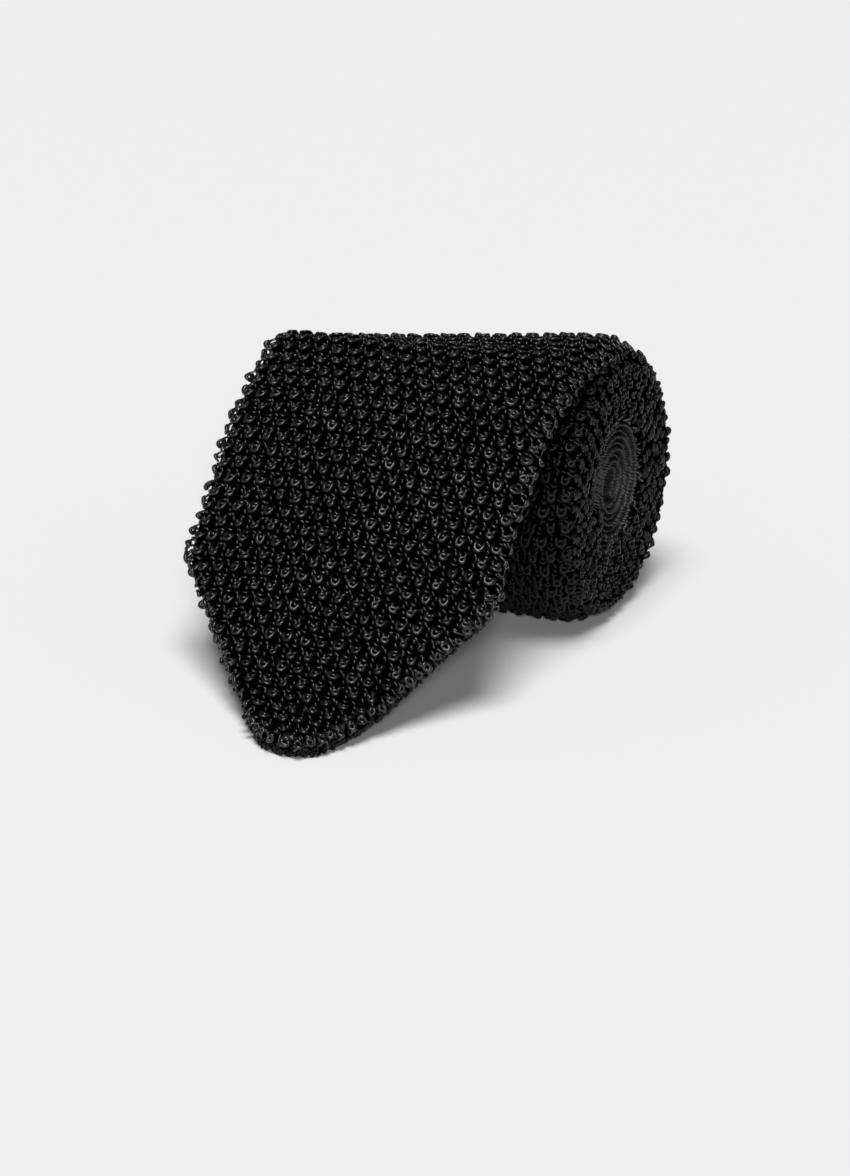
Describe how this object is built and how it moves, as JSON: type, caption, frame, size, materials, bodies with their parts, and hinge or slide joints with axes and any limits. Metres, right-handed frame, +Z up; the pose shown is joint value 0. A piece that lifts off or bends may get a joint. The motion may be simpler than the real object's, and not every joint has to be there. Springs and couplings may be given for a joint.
{
  "type": "necktie",
  "caption": "Black knitted necktie rolled up from its neckband, with the pointed end of the blade hanging forward as a loose flap.",
  "frame": {"origin": "on the supporting surface, in the middle of the flat strip under the roll that it stands on", "axes": "+X along the roll towards its wide end, where the wound edges of the neckband show; -Y the way the loose flap hangs; +Z up"},
  "size_m": [0.068, 0.118, 0.0557],
  "materials": {
    "knit": "coarse black silk bobble knit, soft sheen",
    "rib": "fine black rib knit, matt",
    "thread": "black sewing thread"
  },
  "bodies": {
    "roll": {"blade_wound_turns": "knit", "tail": "knit", "tail_tip_hem": "rib", "neckband": "rib", "blade_to_neckband_seam": "thread", "tail_to_neckband_seam": "thread", "keeper_loop": "rib", "keeper_tack_left": "thread", "keeper_tack_right": "thread"},
    "flap": {"blade_front_flap": "knit", "blade_tip_hem": "rib"}
  },
  "joints": [
    {"name": "flap_lift", "type": "hinge", "parent": "roll", "child": "flap", "pos_m": [0, -0.00045, 0.05089], "axis": [-0.9912, 0.0012, -0.1324], "range_deg": [0, 75]}
  ]
}
